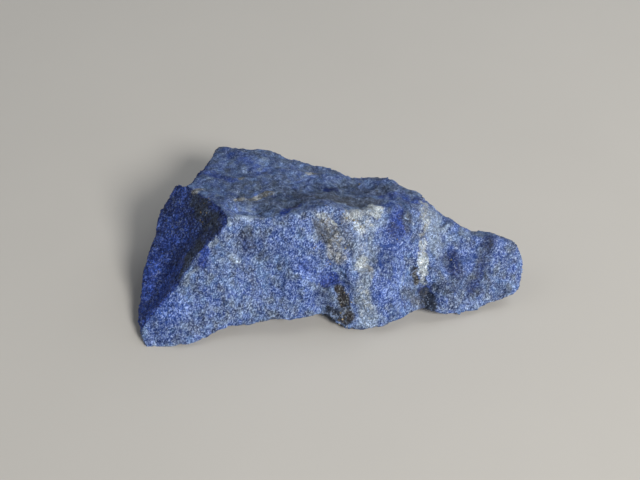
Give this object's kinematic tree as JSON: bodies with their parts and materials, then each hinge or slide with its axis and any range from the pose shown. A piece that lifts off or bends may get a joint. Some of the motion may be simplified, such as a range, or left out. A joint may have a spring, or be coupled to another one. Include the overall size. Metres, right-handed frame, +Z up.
{
  "type": "lapis lazuli specimen",
  "caption": "Rough broken piece of lapis lazuli with a hollow end, a ridge, a tapering lobe, pale calcite veins and pyrite grains, lying on its flattest side.",
  "frame": {"origin": "centre of the stone's bounding box, at the level of the flat that it rests on", "axes": "+Z up, +X along the longest way towards the tapering lobe, -Y out of the broad front face"},
  "size_m": [0.0454, 0.028, 0.0127],
  "materials": {
    "lapis": "rough granular fracture, sugary, dull with small bright grains",
    "pyrite": "small bright pale gold crystals set in the stone"
  },
  "bodies": {
    "root": {"lapis_lazuli_stone": "lapis"}
  },
  "joints": []
}
